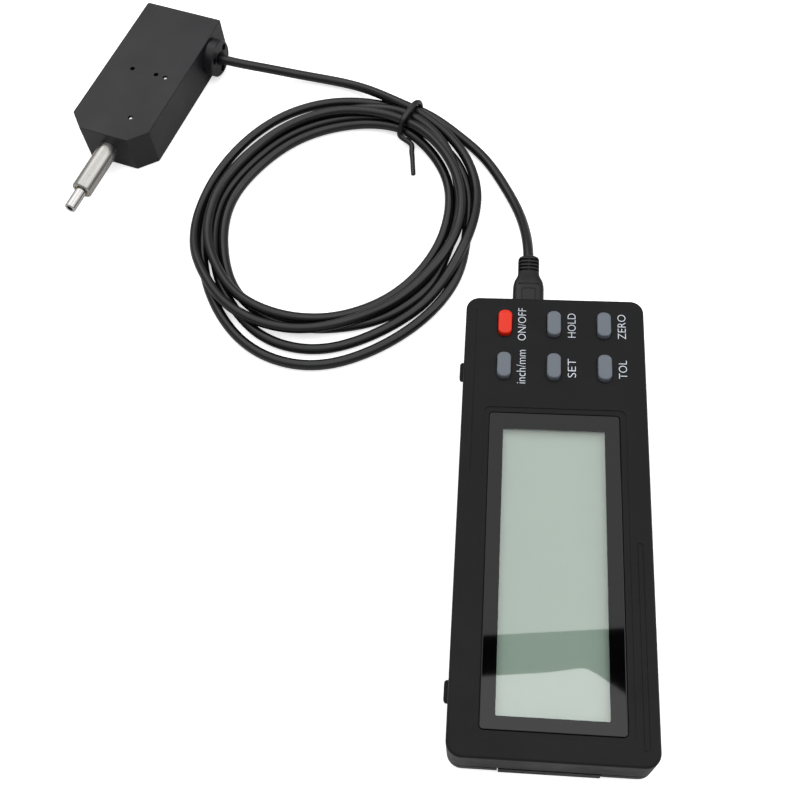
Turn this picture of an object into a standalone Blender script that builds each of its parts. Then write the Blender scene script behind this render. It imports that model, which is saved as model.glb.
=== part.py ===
"""Remote digital indicator: a probe head with a spring-loaded spindle, its coiled lead, and a
hand-sized display unit that the lead plugs into. Metres, +Z up. The origin is the middle of the
display unit's back, on the surface that everything lies on; +Y runs along the display towards its socket."""

import math

import bmesh
import bpy
from mathutils import Vector

MM = 0.001

# ---------------------------------------------------------------- driving dimensions, mm
DISP_W, DISP_L, DISP_H = 60.8, 155.4, 20.0
CORNER_R = 4.6
WALL = 2.0
SPLIT_Z = 6.0  # parting line between the two casings
TOP_T = 2.2  # thickness of the casing's face
WINDOW = (-21.3, 21.42, -69.8, 32.8)  # x0, x1, y0, y1 of the window's seat
BAND = (-23.1, 23.4, -71.6, 34.6)
BUTTON_X = (-16.85, -0.2, 16.7)
BUTTON_Y = (66.9, 50.1)
BUTTON_W, BUTTON_L = 4.7, 9.6
BUTTON_TOP = 21.9
BUTTON_TRAVEL = 0.8
BOSS = (24.5, 71.5)
PCB_Z = (12.8, 14.2)
SOCKET_X, SOCKET_Z = -8.8, 10.6
LUG_Y, LUG_L, LUG_OUT = 56.0, 6.9, 1.7

HEAD_X, HEAD_Y, HEAD_YAW = -177.35, 151.6, -0.305  # where the probe head's nose lies
HEAD_W, HEAD_L, HEAD_H = 34.66, 71.8, 17.1
HEAD_CHAMFER = (6.6, 6.7)
AXIS_Z = HEAD_H / 2
STEM_R, STEM_OUT = 4.0, 22.8
SPINDLE_R, SPINDLE_OUT = 2.22, 31.9
GLAND_V, GLAND_R, GLAND_U = 58.9, 7.6, 21.6

CORD_R = 1.9
COIL_C = (-82.6, 122.0)
# radii of the coil's inside and outside, every 15 degrees round its middle
COIL_IN = (41.4, 43.7, 46.1, 48.1, 50.1, 50.1, 48.1, 45.9, 44.1, 42.3, 42.2, 43.3,
           43.4, 43.4, 45.1, 46.8, 46.5, 45.5, 43.7, 41.5, 39.5, 38.9, 38.7, 39.4)
COIL_OUT = (54.7, 57.6, 60.0, 62.3, 63.5, 64.2, 64.7, 64.1, 62.4, 59.9, 58.0, 57.0,
            56.3, 57.4, 58.3, 60.8, 64.3, 66.4, 66.0, 62.5, 59.5, 57.4, 55.9, 54.5)
TIE_AZ = 63.0

# ---------------------------------------------------------------- scene and materials
for old in list(bpy.data.objects):
    bpy.data.objects.remove(old)


def material(name, colour, rough, metal=0.0, alpha=1.0):
    m = bpy.data.materials.new(name)
    m.use_nodes = True
    b = m.node_tree.nodes["Principled BSDF"]
    b.inputs["Base Color"].default_value = (*colour, 1.0)
    b.inputs["Roughness"].default_value = rough
    b.inputs["Metallic"].default_value = metal
    b.inputs["Alpha"].default_value = alpha
    return m


CASE = material("case_plastic", (0.022, 0.022, 0.024), 0.42)
GREY = material("button_grey", (0.20, 0.22, 0.25), 0.5)
RED = material("button_red", (0.80, 0.045, 0.02), 0.45)
GLASS = material("window_glass", (0.03, 0.03, 0.035), 0.05, 0.0, 0.5)
LCD = material("lcd_glass", (0.42, 0.47, 0.44), 0.2)
ANOD = material("black_anodised", (0.024, 0.024, 0.027), 0.45, 0.4)
STEEL = material("ground_steel", (0.62, 0.60, 0.58), 0.22, 1.0)
BRASS = material("brass", (0.66, 0.47, 0.20), 0.3, 1.0)
PCB = material("circuit_board", (0.02, 0.16, 0.07), 0.4)
RUBBER = material("cord_jacket", (0.018, 0.018, 0.019), 0.5)
CELL = material("cell_wrap", (0.12, 0.13, 0.16), 0.35)
ZEBRA = material("contact_rubber", (0.35, 0.30, 0.30), 0.7)


def obj(name, mesh, mat, at=(0, 0, 0), parent=None, smooth=True):
    o = bpy.data.objects.new(name, mesh)
    bpy.context.scene.collection.objects.link(o)
    o.location = [c * MM for c in at]
    if parent is not None:
        o.parent = parent
    if mat is not None:
        mesh.materials.append(mat)
    if smooth:
        mesh.shade_smooth()
        mesh.set_sharp_from_angle(angle=math.radians(35))
    return o


def outward(bm):
    """Every shape here is wound one way all over, so its volume's sign says which."""
    if bm.calc_volume(signed=True) < 0:
        bmesh.ops.reverse_faces(bm, faces=bm.faces)
    return bm


def mesh_of(bm, name="m"):
    outward(bm)
    me = bpy.data.meshes.new(name)
    bm.to_mesh(me)
    bm.free()
    return me


def helper(o):
    o.hide_render = True
    o.display_type = "WIRE"
    return o


def rounded(x0, x1, y0, y1, r, n=4):
    """A rounded rectangle's outline, counter-clockwise."""
    out = []
    for cx, cy, a0 in ((x1 - r, y1 - r, 0), (x0 + r, y1 - r, 90), (x0 + r, y0 + r, 180), (x1 - r, y0 + r, 270)):
        for i in range(n + 1):
            a = math.radians(a0 + 90 * i / n)
            out.append((cx + r * math.cos(a), cy + r * math.sin(a)))
    return out


def rect(x0, x1, y0, y1):
    return [(x1, y1), (x0, y1), (x0, y0), (x1, y0)]


def inset(outline, d):
    """The outline moved inwards by d, along its corners' bisectors."""
    n, out = len(outline), []
    for i in range(n):
        p0, p1, p2 = (Vector(outline[(i + k) % n]) for k in (-1, 0, 1))
        e1, e2 = (p1 - p0).normalized(), (p2 - p1).normalized()
        n1, n2 = Vector((-e1.y, e1.x)), Vector((-e2.y, e2.x))
        b = (n1 + n2) / max(1e-6, 1 + n1.dot(n2))
        out.append((p1.x + b.x * d, p1.y + b.y * d))
    return out


def prism(layers):
    """A closed solid through layers of (outline, z), all of one point count, lowest first."""
    bm = bmesh.new()
    rings = [[bm.verts.new((x * MM, y * MM, z * MM)) for x, y in outline] for outline, z in layers]
    for a, b in zip(rings, rings[1:]):
        for i in range(len(a)):
            j = (i + 1) % len(a)
            bm.faces.new((a[i], a[j], b[j], b[i]))
    bm.faces.new(rings[0][::-1])
    bm.faces.new(rings[-1])
    return bm


def slab(outline, z0, z1, top=0.0, low=0.0):
    """A plate with chamfered top and bottom edges."""
    layers = []
    if low:
        layers += [(inset(outline, low), z0), (outline, z0 + low)]
    else:
        layers += [(outline, z0)]
    if top:
        layers += [(outline, z1 - top), (inset(outline, top * 0.3), z1 - top * 0.3), (inset(outline, top), z1)]
    else:
        layers += [(outline, z1)]
    return prism(layers)


def channel(outline, w, z0, z1):
    """A closed ring of width w inside an outline, as deep as z0 to z1."""
    inside = inset(outline, w)
    bm = bmesh.new()
    rings = [[bm.verts.new((x * MM, y * MM, z * MM)) for x, y in o] for o, z in ((outline, z0), (outline, z1), (inside, z1), (inside, z0))]
    for a, b in zip(rings, rings[1:] + rings[:1]):
        for i in range(len(a)):
            j = (i + 1) % len(a)
            bm.faces.new((a[i], a[j], b[j], b[i]))
    return bm


def eased(points, r, n=3):
    """A polygon's outline with its corners rounded to radius r."""
    out, m = [], len(points)
    for i in range(m):
        p0, p1, p2 = (Vector(points[(i + k) % m]) for k in (-1, 0, 1))
        d0, d2 = (p0 - p1).normalized(), (p2 - p1).normalized()
        half = math.acos(max(-1, min(1, d0.dot(d2)))) / 2
        reach = r / math.tan(half)
        mid = p1 + (d0 + d2).normalized() * (r / math.sin(half))
        a0 = math.atan2(*(p1 + d0 * reach - mid).yx)
        a1 = math.atan2(*(p1 + d2 * reach - mid).yx)
        turn = (a1 - a0 + math.pi) % (2 * math.pi) - math.pi
        out += [(mid.x + r * math.cos(a0 + turn * k / n), mid.y + r * math.sin(a0 + turn * k / n)) for k in range(n + 1)]
    return out


AXES = {"X": ((0, 1, 0), (0, 0, 1), (1, 0, 0)), "Y": ((0, 0, 1), (1, 0, 0), (0, 1, 0)), "Z": ((1, 0, 0), (0, 1, 0), (0, 0, 1))}


def turned(profile, axis="Z", steps=24, ring=False):
    """A profile of (radius, along) spun about an axis. ring closes it round a bore; otherwise it starts and ends on the axis."""
    a, b, c = (Vector(v) for v in AXES[axis])
    bm = bmesh.new()
    rows = []
    for r, h in profile:
        if r < 1e-6:
            rows.append([bm.verts.new(c * h * MM)])
        else:
            rows.append([bm.verts.new((a * math.cos(2 * math.pi * i / steps) * r + b * math.sin(2 * math.pi * i / steps) * r + c * h) * MM) for i in range(steps)])
    pairs = list(zip(rows, rows[1:]))
    if ring:
        pairs.append((rows[-1], rows[0]))
    for p, q in pairs:
        for i in range(steps):
            j = (i + 1) % steps
            if len(p) == 1:
                bm.faces.new((p[0], q[j], q[i]))
            elif len(q) == 1:
                bm.faces.new((p[i], p[j], q[0]))
            else:
                bm.faces.new((p[i], p[j], q[j], q[i]))
    return bm


def rod(r, h0, h1, axis="Z", steps=24, chamfer=0.0):
    c = chamfer
    prof = [(0, h0)] + ([(r - c, h0), (r, h0 + c), (r, h1 - c), (r - c, h1)] if c else [(r, h0), (r, h1)]) + [(0, h1)]
    return turned(prof, axis, steps)


def tube(ro, ri, h0, h1, axis="Z", steps=24, chamfer=0.0):
    c = chamfer
    outer = [(ro - c, h0), (ro, h0 + c), (ro, h1 - c), (ro - c, h1)] if c else [(ro, h0), (ro, h1)]
    return turned([(ri, h0), *outer, (ri, h1)], axis, steps, ring=True)


def joined(name, *bms):
    """Several closed shapes as one helper mesh, for one Boolean. They don't touch each other."""
    out = bmesh.new()
    for bm in bms:
        outward(bm)
        me = bpy.data.meshes.new("tmp")
        bm.to_mesh(me)
        bm.free()
        out.from_mesh(me)
        bpy.data.meshes.remove(me)
    return mesh_of(out, name)


def boolean(target, mesh, operation="DIFFERENCE", at=(0, 0, 0), parent=None):
    cutter = helper(obj(f"helper_{target.name}_{len(target.modifiers)}", mesh, None, at, parent, smooth=False))
    m = target.modifiers.new(f"bool{len(target.modifiers)}", "BOOLEAN")
    m.operation, m.object, m.solver = operation, cutter, "EXACT"
    return cutter


def moved(bm, at):
    bmesh.ops.translate(bm, verts=bm.verts, vec=Vector(at) * MM)
    return bm


# ================================================================ display unit
W2, L2 = DISP_W / 2, DISP_L / 2
outer = rounded(-W2, W2, -L2, L2, CORNER_R, 9)
inner = rounded(-W2 + WALL, W2 - WALL, -L2 + WALL, L2 - WALL, CORNER_R - WALL, 4)
BOSSES = [(sx * BOSS[0], sy * BOSS[1]) for sx in (-1, 1) for sy in (-1, 1)]

# front casing: a shell open downwards, with the window's seat, six button holes and the socket's slot
front = obj("front_casing", mesh_of(prism([
    (inset(outer, 0.25), SPLIT_Z), (outer, SPLIT_Z + 0.25), (outer, DISP_H - 1.0),
    (inset(outer, 0.14), DISP_H - 0.52), (inset(outer, 0.46), DISP_H - 0.15), (inset(outer, 1.0), DISP_H)])), CASE)
boolean(front, mesh_of(slab(inner, SPLIT_Z - 1, DISP_H - TOP_T)))
boolean(front, joined("front_bosses", *[moved(rod(2.8, SPLIT_Z + 0.6, DISP_H - TOP_T + 0.6, steps=16), (x, y, 0)) for x, y in BOSSES]), "UNION")
cuts = [moved(rod(1.3, SPLIT_Z - 0.5, 15.0, steps=12), (x, y, 0)) for x, y in BOSSES]
for x in BUTTON_X:
    for y in BUTTON_Y:
        cuts.append(slab(rounded(x - 2.6, x + 2.6, y - 5.05, y + 5.05, 2.3, 7), DISP_H - TOP_T - 1, DISP_H + 1))
boolean(front, joined("front_cuts", *cuts))
x0, x1, y0, y1 = BAND
boolean(front, mesh_of(slab(rounded(x0, x1, y0, y1, 2.2, 3), DISP_H - 0.25, DISP_H + 1)))
x0, x1, y0, y1 = WINDOW
boolean(front, mesh_of(slab(rounded(x0, x1, y0, y1, 1.4, 3), DISP_H - 1.3, DISP_H + 1)))
boolean(front, mesh_of(slab(rect(-19.0, 19.0, -67.6, 29.6), DISP_H - TOP_T - 1, DISP_H)))
boolean(front, joined("front_slots",
                      slab(rect(-26.9, -26.45, 11.0, 72.4), DISP_H - 0.35, DISP_H + 1),
                      channel(rounded(25.3, 27.3, -73.4, -11.0, 0.9, 3), 0.42, DISP_H - 0.3, DISP_H + 1),
                      slab(rect(SOCKET_X - 4.2, SOCKET_X + 4.2, L2 - WALL - 1, L2 + 1), SOCKET_Z - 2.4, SOCKET_Z + 2.4)))

# rear casing: a shallow tray with the battery bay, four screw posts and two hanging lugs
rear = obj("rear_casing", mesh_of(prism([
    (inset(outer, 1.5), 0.0), (inset(outer, 0.6), 0.6), (outer, 1.9), (outer, SPLIT_Z - 0.55), (inset(outer, 0.25), SPLIT_Z - 0.3)])), CASE)
boolean(rear, mesh_of(slab(inner, 2.4, SPLIT_Z + 1)))
boolean(rear, joined("rear_adds",
                     *[moved(rod(3.0, 1.2, SPLIT_Z - 0.3, steps=16), (x, y, 0)) for x, y in BOSSES],
                     slab(rect(-13.3, 13.3, -75.2, -26.1), 1.2, 12.3),
                     *[slab(rounded(-W2 - LUG_OUT, -W2 + 1.2, s * LUG_Y - LUG_L / 2, s * LUG_Y + LUG_L / 2, 1.0, 4), 3.0, SPLIT_Z - 0.6, 0.5, 0.4) for s in (-1, 1)]), "UNION")
boolean(rear, joined("rear_cuts",
                     *[moved(rod(2.4, -1, 3.0, steps=16), (x, y, 0)) for x, y in BOSSES],
                     slab(rect(-11.9, 11.9, -74.6, -27.4), -1, 13.5)))
boolean(rear, joined("rear_holes", *[moved(rod(1.4, 1, 7, steps=12), (x, y, 0)) for x, y in BOSSES]))
boolean(rear, mesh_of(slab(rect(-15.3, 15.3, -80, -25.7), -1, 1.6)))
boolean(rear, mesh_of(slab(rect(-15.3, 15.3, -80, -76.4), -1, SPLIT_Z + 1)))

# battery door: slides out along -Y, its end flap closes the casing's end
door = obj("battery_door", mesh_of(slab(rect(-15, 15, -77.9, -26.0), 0.15, 1.3, 0.0, 0.2)), CASE)
boolean(door, joined("door_adds", slab(rect(-15, 15, -77.9, -76.7), 0.6, SPLIT_Z - 0.5)), "UNION")
boolean(door, joined("door_grip", *[slab(rect(-6, 6, y, y + 0.8), -1, 0.45) for y in (-70, -68, -66, -64)]))

# window, panel and board
obj("window", mesh_of(slab(rounded(WINDOW[0] + 0.2, WINDOW[1] - 0.2, WINDOW[2] + 0.2, WINDOW[3] - 0.2, 1.2, 3), 18.95, 19.88, 0.15)), GLASS)
obj("lcd_panel", mesh_of(slab(rect(-18.7, 18.7, -67.3, 29.3), 16.1, 17.5)), LCD)
obj("lcd_reflector", mesh_of(slab(rect(-18.0, 18.0, -62.5, 24.6), 14.9, 15.8)), LCD)
for i, y in enumerate((-65.2, 27.2)):
    obj(f"zebra_strip_{i + 1}", mesh_of(slab(rect(-16, 16, y - 1.0, y + 1.0), 14.45, 15.85)), ZEBRA)
notch = [(21, 74), (-21, 74), (-21, 68), (-27, 68), (-27, -68), (-21, -68), (-21, -74), (21, -74), (21, -68), (27, -68), (27, 68), (21, 68)]
obj("main_board", mesh_of(slab(notch, *PCB_Z)), PCB)

NAMES = {(0, 0): "on_off", (1, 0): "hold", (2, 0): "zero", (0, 1): "unit", (1, 1): "set", (2, 1): "tolerance"}
cap = rounded(-BUTTON_W / 2, BUTTON_W / 2, -BUTTON_L / 2, BUTTON_L / 2, BUTTON_W / 2 - 0.3, 6)
rim = rounded(-BUTTON_W / 2 - 0.8, BUTTON_W / 2 + 0.8, -BUTTON_L / 2 - 0.8, BUTTON_L / 2 + 0.8, BUTTON_W / 2 - 0.3, 6)
for (i, j), label in NAMES.items():
    at = (BUTTON_X[i], BUTTON_Y[j], 0)
    h = BUTTON_TOP
    obj("button_" + label, mesh_of(prism([(rim, 16.55), (rim, 17.35), (cap, 17.35), (cap, h - 0.7), (inset(cap, 0.18), h - 0.25), (inset(cap, 0.6), h)])),
        RED if label == "on_off" else GREY, at)
    obj("switch_" + label, joined("sw", slab(rect(-2.2, 2.2, -2.2, 2.2), 14.5, 15.5)), STEEL, at)

sock = obj("usb_socket", mesh_of(slab(rect(-4.0, 4.0, 67.6, 77.0), SOCKET_Z - 2.1, SOCKET_Z + 1.95)), STEEL, (SOCKET_X, 0, 0))
boolean(sock, mesh_of(slab(rect(-3.6, 3.6, 69.0, 79.0), SOCKET_Z - 1.75, SOCKET_Z + 1.6)), "DIFFERENCE", (SOCKET_X, 0, 0))

for i, x in enumerate((-5.6, 5.6)):
    s = 1 if i else -1
    obj(f"battery_cell_{i + 1}", mesh_of(turned([(0, -22.2), (4.6, -22.2), (5.15, -21.7), (5.15, 21.0), (4.8, 21.4), (1.9, 21.4), (1.8, 22.3), (0, 22.3)], "Y", 20)), CELL, (x, -51.0, 6.95))
for i, y in enumerate((-74.25, -28.3)):
    obj(f"battery_contact_{i + 1}", mesh_of(slab(rect(-11.0, 11.0, y, y + 0.6), 2.2, 11.6)), STEEL)
for i, (x, y) in enumerate(BOSSES):
    obj(f"casing_screw_{i + 1}", mesh_of(turned([(0, 0.9), (1.0, 0.9), (2.0, 1.4), (2.0, 2.7), (1.1, 2.75), (1.1, 13.0), (0, 13.9)], "Z", 16)), STEEL, (x, y, 0))

# ================================================================ probe head
head = bpy.data.objects.new("head_frame", None)
bpy.context.scene.collection.objects.link(head)
head.location = (HEAD_X * MM, HEAD_Y * MM, 0)
head.rotation_euler = (0, 0, HEAD_YAW)

a, (cu, cv) = HEAD_W / 2, HEAD_CHAMFER
block = eased([(a, HEAD_L), (-a, HEAD_L), (-a, cv), (-a + cu, 0), (a - cu, 0), (a, cv)], 0.8)
body = obj("probe_body", mesh_of(prism([(inset(block, 0.35), 0), (block, 0.35), (block, HEAD_H - 0.4), (inset(block, 0.12), HEAD_H - 0.12), (inset(block, 0.4), HEAD_H)])), ANOD, parent=head)
pu, pv0, pv1, c = 12.6, 9.2, 66.3, 4.4
pocket = [(pu, pv1 - c), (pu - c, pv1 - c), (pu - c, pv1), (-pu + c, pv1), (-pu + c, pv1 - c), (-pu, pv1 - c),
          (-pu, pv0 + c), (-pu + c, pv0 + c), (-pu + c, pv0), (pu - c, pv0), (pu - c, pv0 + c), (pu, pv0 + c)]
boolean(body, mesh_of(slab(pocket, 1, 13.8)), parent=head)
boolean(body, mesh_of(slab(rounded(-15.1, 15.1, 7.2, 68.3, 1.5, 3), -1, 1.9)), parent=head)
POSTS = [(sx * 10.6, v) for sx in (-1, 1) for v in (11.2, 64.3)]
FACE = ((-5.32, 35.2), (5.6, 35.3), (9.9, 35.0), (6.47, 11.35))
boolean(body, joined("body_holes",
                     *[moved(rod(0.95, 1, 6.9, steps=12), (u, v, 0)) for u, v in POSTS],
                     *[moved(rod(1.0, 13, 18, steps=12), (u, v, 0)) for u, v in FACE]), parent=head)
boolean(body, joined("body_bores",
                     moved(rod(4.06, -2, 10.5, "Y", 32), (0, 0, AXIS_Z)),
                     moved(rod(1.3, 4.2, 14.5, "Y", 12), (8.6, 0, AXIS_Z)),
                     moved(rod(1.3, 61, 68.9, "Y", 12), (8.6, 0, AXIS_Z)),
                     moved(rod(4.2, 65, 67.8, "Y", 20), (0, 0, AXIS_Z)),
                     moved(rod(3.3, 12, 18.5, "X", 20), (0, GLAND_V, AXIS_Z))), parent=head)
GLAND_SCREWS = [(5.0 * math.cos(math.radians(t)), 5.0 * math.sin(math.radians(t))) for t in (30, 150, 270)]
boolean(body, joined("body_taps", *[moved(rod(0.85, 14.0, 18, "X", 12), (0, GLAND_V + dv, AXIS_Z + dz)) for dv, dz in GLAND_SCREWS]), parent=head)

plate = obj("base_plate", mesh_of(slab(rounded(-14.85, 14.85, 7.45, 68.05, 1.3, 3), 0.0, 1.6, 0.0, 0.15)), ANOD, parent=head)
boolean(plate, joined("plate_holes", *[moved(turned([(0, -1), (2.0, -1), (2.0, 0.75), (1.1, 0.76), (1.1, 3), (0, 3)], "Z", 16), (u, v, 0)) for u, v in POSTS]), parent=head)
for i, (u, v) in enumerate(POSTS):
    obj(f"plate_screw_{i + 1}", mesh_of(turned([(0, 0.15), (0.7, 0.05), (1.7, 0.05), (1.7, 0.6), (0.75, 0.62), (0.75, 6.2), (0, 6.6)], "Z", 12)), STEEL, (u, v, 0), head)
for i, k in enumerate((2, 3)):
    u, v = FACE[k]
    obj(f"set_screw_{i + 1}", mesh_of(rod(0.82, 14.1, 16.5, "Z", 12, 0.2)), STEEL, (u, v, 0), head)

stem = obj("stem", mesh_of(turned([(2.72, -STEM_OUT), (3.4, -STEM_OUT), (STEM_R, -STEM_OUT + 0.5), (STEM_R, 9.9), (2.72, 9.9)], "Y", 32, ring=True)), STEEL, (0, 0, AXIS_Z), head)
obj("front_bush", mesh_of(tube(2.66, 2.3, -22.3, -14.3, "Y", 24)), BRASS, (0, 0, AXIS_Z), head)
obj("rear_bush", mesh_of(tube(2.66, 2.3, 1.4, 9.4, "Y", 24)), BRASS, (0, 0, AXIS_Z), head)
obj("spindle", mesh_of(turned([(0, -SPINDLE_OUT + 5.0), (1.25, -SPINDLE_OUT + 4.4), (1.25, -SPINDLE_OUT + 0.3), (1.5, -SPINDLE_OUT), (1.95, -SPINDLE_OUT),
                               (SPINDLE_R, -SPINDLE_OUT + 0.3), (SPINDLE_R, 47.7), (1.9, 48.0), (0, 48.0)], "Y", 24)), STEEL, (0, 0, AXIS_Z), head)
carriage = obj("carriage", mesh_of(slab(rect(-9.6, 11.3, 14.2, 25.8), 6.0, 11.2)), BRASS, parent=head)
boolean(carriage, joined("carriage_bores",
                         moved(rod(SPINDLE_R + 0.08, 12, 28, "Y", 24), (0, 0, AXIS_Z)),
                         moved(rod(1.35, 12, 28, "Y", 12), (8.6, 0, AXIS_Z))), parent=head)
obj("guide_rod", mesh_of(rod(1.2, 4.5, 68.6, "Y", 12, 0.2)), STEEL, (8.6, 0, AXIS_Z), head)
obj("scale_strip", mesh_of(slab(rect(-9.4, -4.7, 15.0, 50.0), 5.0, 5.75)), LCD, parent=head)
obj("sensor_board", mesh_of(slab(rect(-11.5, 11.5, 14.5, 58.0), 2.2, 3.4)), PCB, parent=head)
obj("read_head", mesh_of(slab(rect(-9.6, -4.4, 29.0, 38.0), 3.65, 4.75)), CASE, parent=head)


def helix(mean, wire, h0, h1, turns, around=10, sides=5):
    """A compression spring along Y, its ends closed on themselves."""
    bm = bmesh.new()
    rings, n = [], int(turns * around)
    for i in range(n + 1):
        t = i / n
        s = min(1.0, max(0.0, (t - 0.06) / 0.88))
        ang = 2 * math.pi * turns * t
        y = h0 + wire + (h1 - h0 - 2 * wire) * (s * 0.94 + t * 0.06)
        centre = Vector((mean * math.cos(ang), y, mean * math.sin(ang)))
        out, up = Vector((math.cos(ang), 0, math.sin(ang))), Vector((0, 1, 0))
        rings.append([bm.verts.new((centre + out * math.cos(2 * math.pi * k / sides) * wire + up * math.sin(2 * math.pi * k / sides) * wire) * MM) for k in range(sides)])
    for p, q in zip(rings, rings[1:]):
        for k in range(sides):
            m = (k + 1) % sides
            bm.faces.new((p[k], p[m], q[m], q[k]))
    bm.faces.new(rings[0][::-1])
    bm.faces.new(rings[-1])
    return bm


obj("return_spring", mesh_of(helix(3.15, 0.3, 26.1, 67.5, 9.5)), STEEL, (0, 0, AXIS_Z), head)

# cable gland: a round flange on the head's side, three recessed screws, the lead through its middle
gland = obj("cable_gland", mesh_of(turned([(2.1, 13.2), (3.1, 13.2), (3.1, 17.5), (GLAND_R, 17.55), (GLAND_R, GLAND_U - 0.4), (GLAND_R - 0.4, GLAND_U), (3.3, GLAND_U), (2.1, GLAND_U - 1.2)], "X", 32, ring=True)),
            ANOD, (0, GLAND_V, AXIS_Z), head)
boolean(gland, joined("gland_holes", *[moved(turned([(0, 16), (0.8, 16), (0.8, 18.8), (1.5, 18.81), (1.5, 23), (0, 23)], "X", 16), (0, dv, dz)) for dv, dz in GLAND_SCREWS]), at=(0, GLAND_V, AXIS_Z), parent=head)
for i, (dv, dz) in enumerate(GLAND_SCREWS):
    obj(f"gland_screw_{i + 1}", mesh_of(turned([(0, 14.3), (0.55, 14.6), (0.55, 18.95), (1.3, 18.97), (1.3, 20.3), (0.6, 20.3), (0.6, 19.8), (0, 19.8)], "X", 12)), STEEL, (0, GLAND_V + dv, AXIS_Z + dz), head)


# ================================================================ lead
def table(values, az):
    """A value read round a closed table, smoothly."""
    n = len(values)
    s = (az % 360) / 360 * n
    i, t = int(s) % n, s - int(s)
    p = [values[(i + k) % n] for k in (-1, 0, 1, 2)]
    return 0.5 * (2 * p[1] + (p[2] - p[0]) * t + (2 * p[0] - 5 * p[1] + 4 * p[2] - p[3]) * t * t + (3 * p[1] - p[0] - 3 * p[2] + p[3]) * t ** 3)


def catmull(points, per=6):
    """Points along a smooth curve through the route's own points."""
    p = [Vector(q) for q in points]
    p = [2 * p[0] - p[1]] + p + [2 * p[-1] - p[-2]]
    out = []
    for i in range(1, len(p) - 2):
        for k in range(per):
            t = k / per
            out.append(0.5 * (2 * p[i] + (p[i + 1] - p[i - 1]) * t + (2 * p[i - 1] - 5 * p[i] + 4 * p[i + 1] - p[i + 2]) * t * t + (3 * p[i] - p[i - 1] - 3 * p[i + 1] + p[i + 2]) * t ** 3))
    return out + [p[-2]]


def lead(name, points, radius, mat=RUBBER, resolution=2):
    cu = bpy.data.curves.new(name, "CURVE")
    cu.dimensions = "3D"
    cu.bevel_depth = radius * MM
    cu.bevel_resolution = resolution
    cu.use_fill_caps = True
    s = cu.splines.new("POLY")
    s.points.add(len(points) - 1)
    for q, p in zip(s.points, points):
        q.co = (p[0] * MM, p[1] * MM, p[2] * MM, 1)
    o = bpy.data.objects.new(name, cu)
    bpy.context.scene.collection.objects.link(o)
    cu.materials.append(mat)
    return o


def head_point(u, v, z):
    cs, sn = math.cos(HEAD_YAW), math.sin(HEAD_YAW)
    return (HEAD_X + cs * u - sn * v, HEAD_Y + sn * u + cs * v, z)


# from the gland, down to the surface, along it and up to the top of the coil beside the tie
TO_COIL = [head_point(GLAND_U + 0.4, GLAND_V, AXIS_Z), head_point(GLAND_U + 8, GLAND_V + 0.1, AXIS_Z - 0.5), (-121.5, 199.4, 6.0), (-112.5, 198.4, 4.2), (-103.0, 197.5, 2.9), (-95.0, 196.2, 2.3), (-88.6, 194.9, 2.3)]
lead("lead_to_probe", catmull(TO_COIL, 3), CORD_R)
# from the outside of the coil, round to the display's socket
TO_PLUG = [(-32.6, 162.2, 2.1), (-27.8, 156.2, 2.1), (-21.9, 147.0, 2.3), (-16.2, 135.6, 3.2), (-12.2, 124.6, 5.4), (-9.9, 114.5, 8.2), (-9.0, 107.5, 10.0), (-8.8, 102.9, 10.6)]
lead("lead_to_display", catmull(TO_PLUG, 3), CORD_R)

# the coil's outer shape: a flattened ring, narrower and lifted where the tie holds it
bm = bmesh.new()
rings, steps = [], 48
for i in range(steps):
    az = 360 * i / steps
    near = max(0.0, 1 - abs((az - TIE_AZ + 180) % 360 - 180) / 26)
    near = near * near * (3 - 2 * near)
    ri, ro = table(COIL_IN, az), table(COIL_OUT, az)
    z0, z1 = 0.15 + 1.7 * near, 7.6 + 1.2 * near
    ri, ro = ri + 0.2 * near, ro - 1.6 * near
    ca, sa = math.cos(math.radians(az)), math.sin(math.radians(az))
    e = 1.7
    ring = []
    for r, z in ((ri + e, z0), (ro - e, z0), (ro, z0 + e), (ro, z1 - e), (ro - e, z1), (ri + e, z1), (ri, z1 - e), (ri, z0 + e)):
        ring.append(bm.verts.new(((COIL_C[0] + r * ca) * MM, (COIL_C[1] + r * sa) * MM, z * MM)))
    rings.append(ring)
for i in range(steps):
    p, q = rings[i], rings[(i + 1) % steps]
    for k in range(8):
        m = (k + 1) % 8
        bm.faces.new((p[k], p[m], q[m], q[k]))
obj("lead_coil", mesh_of(bm), RUBBER)

# the tie: one wire round the bundle, its tail pointing to the coil's middle
ta = math.radians(TIE_AZ)
tr, tt = Vector((math.cos(ta), math.sin(ta), 0)), Vector((-math.sin(ta), math.cos(ta), 0))
base = Vector((COIL_C[0], COIL_C[1], 0))
ri, ro = table(COIL_IN, TIE_AZ) - 1.1, table(COIL_OUT, TIE_AZ) - 0.35


def around(r, t, z):
    return base + tr * r + tt * t + Vector((0, 0, z))


tie = [(-54.3, 147.6, 1.0), (-54.8, 152.6, 1.2), (-55.6, 157.6, 1.7), (-56.3, 161.9, 2.6), around(ri - 1.9, -0.1, 4.0), around(ri - 0.6, 0.3, 7.0), around(ri + 2.0, 0.3, 9.9), around((ri + ro) / 2, 0.3, 10.4), around(ro - 2.2, 0.3, 9.9),
       around(ro + 0.6, 0.2, 7.4), around(ro + 0.9, 0.0, 4.0), around(ro - 0.6, -0.6, 1.3), around(ro - 3.2, -1.6, 0.86), around((ri + ro) / 2, -2.2, 0.86), around(ri + 2.4, -2.6, 0.86), around(ri - 0.9, -3.0, 1.9)]
lead("twist_tie", catmull(tie, 2), 0.8)

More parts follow.
